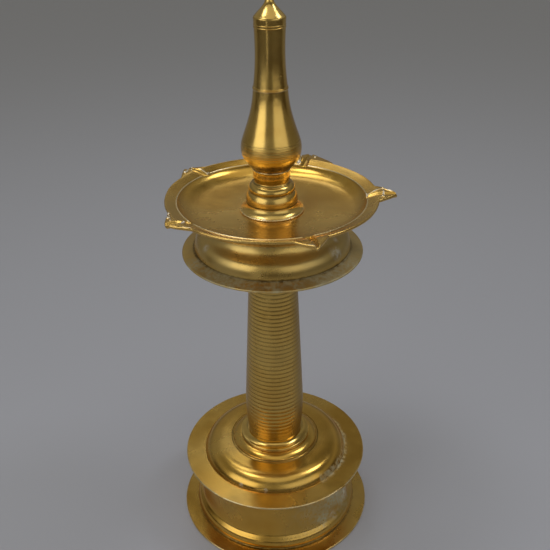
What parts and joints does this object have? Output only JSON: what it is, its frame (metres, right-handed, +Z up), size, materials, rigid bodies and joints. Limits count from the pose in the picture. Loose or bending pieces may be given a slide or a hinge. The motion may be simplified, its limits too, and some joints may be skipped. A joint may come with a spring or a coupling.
{
  "type": "standing oil lamp",
  "caption": "Standing brass oil lamp: hollow flanged base, ribbed column, rolled collar, shallow dish with beaked rim and tapering bulb finial, all screwed together.",
  "frame": {"origin": "on the lamp's axis, on the plane the base stands on", "axes": "+Z up along the axis, -Y towards the front, +X to the right seen from the front"},
  "size_m": [0.2421, 0.2377, 0.61],
  "materials": {
    "brass_base": "worn satin polish with tarnish in the root lines",
    "brass_column": "turned ribs, polished crests, dark valleys",
    "brass_collar": "worn satin polish",
    "brass_dish": "satin, with polish residue round the beaks",
    "brass_finial": "bright polish with fine turning lines",
    "leather": "oiled leather"
  },
  "bodies": {
    "base": {"base_drum": "brass_base", "base_dome": "brass_base"},
    "column_ring": {"column_ring": "brass_column"},
    "column": {"column": "brass_column"},
    "collar_plate": {"collar_plate": "brass_collar"},
    "collar": {"collar_drum": "brass_collar"},
    "dish_washer": {"dish_washer": "leather"},
    "dish": {"oil_dish": "brass_dish"},
    "finial_foot": {"finial_foot": "brass_finial"},
    "finial": {"finial_stem": "brass_finial"}
  },
  "joints": [
    {"name": "column_lift", "type": "slide", "parent": "base", "child": "column_ring", "axis": [0, 0, 1], "range_m": [0, 0.024]},
    {"name": "column_turn", "type": "hinge", "parent": "column_ring", "child": "column", "pos_m": [0, 0, 0], "axis": [0, 0, 1], "range_deg": [0, 2160]},
    {"name": "collar_lift", "type": "slide", "parent": "column", "child": "collar_plate", "axis": [0, 0, 1], "range_m": [0, 0.024]},
    {"name": "collar_turn", "type": "hinge", "parent": "collar_plate", "child": "collar", "pos_m": [0, 0, 0], "axis": [0, 0, 1], "range_deg": [0, 2160]},
    {"name": "dish_lift", "type": "slide", "parent": "collar", "child": "dish_washer", "axis": [0, 0, 1], "range_m": [0, 0.024]},
    {"name": "dish_turn", "type": "hinge", "parent": "dish_washer", "child": "dish", "pos_m": [0, 0, 0], "axis": [0, 0, 1], "range_deg": [0, 2160]},
    {"name": "finial_lift", "type": "slide", "parent": "dish", "child": "finial_foot", "axis": [0, 0, 1], "range_m": [0, 0.024]},
    {"name": "finial_turn", "type": "hinge", "parent": "finial_foot", "child": "finial", "pos_m": [0, 0, 0], "axis": [0, 0, 1], "range_deg": [0, 2160]}
  ],
  "couplings": [
    {"joint": "column_lift", "follows": "column_turn", "m_per_rad": 0.0006366},
    {"joint": "collar_lift", "follows": "collar_turn", "m_per_rad": 0.0006366},
    {"joint": "dish_lift", "follows": "dish_turn", "m_per_rad": 0.0006366},
    {"joint": "finial_lift", "follows": "finial_turn", "m_per_rad": 0.0006366}
  ]
}
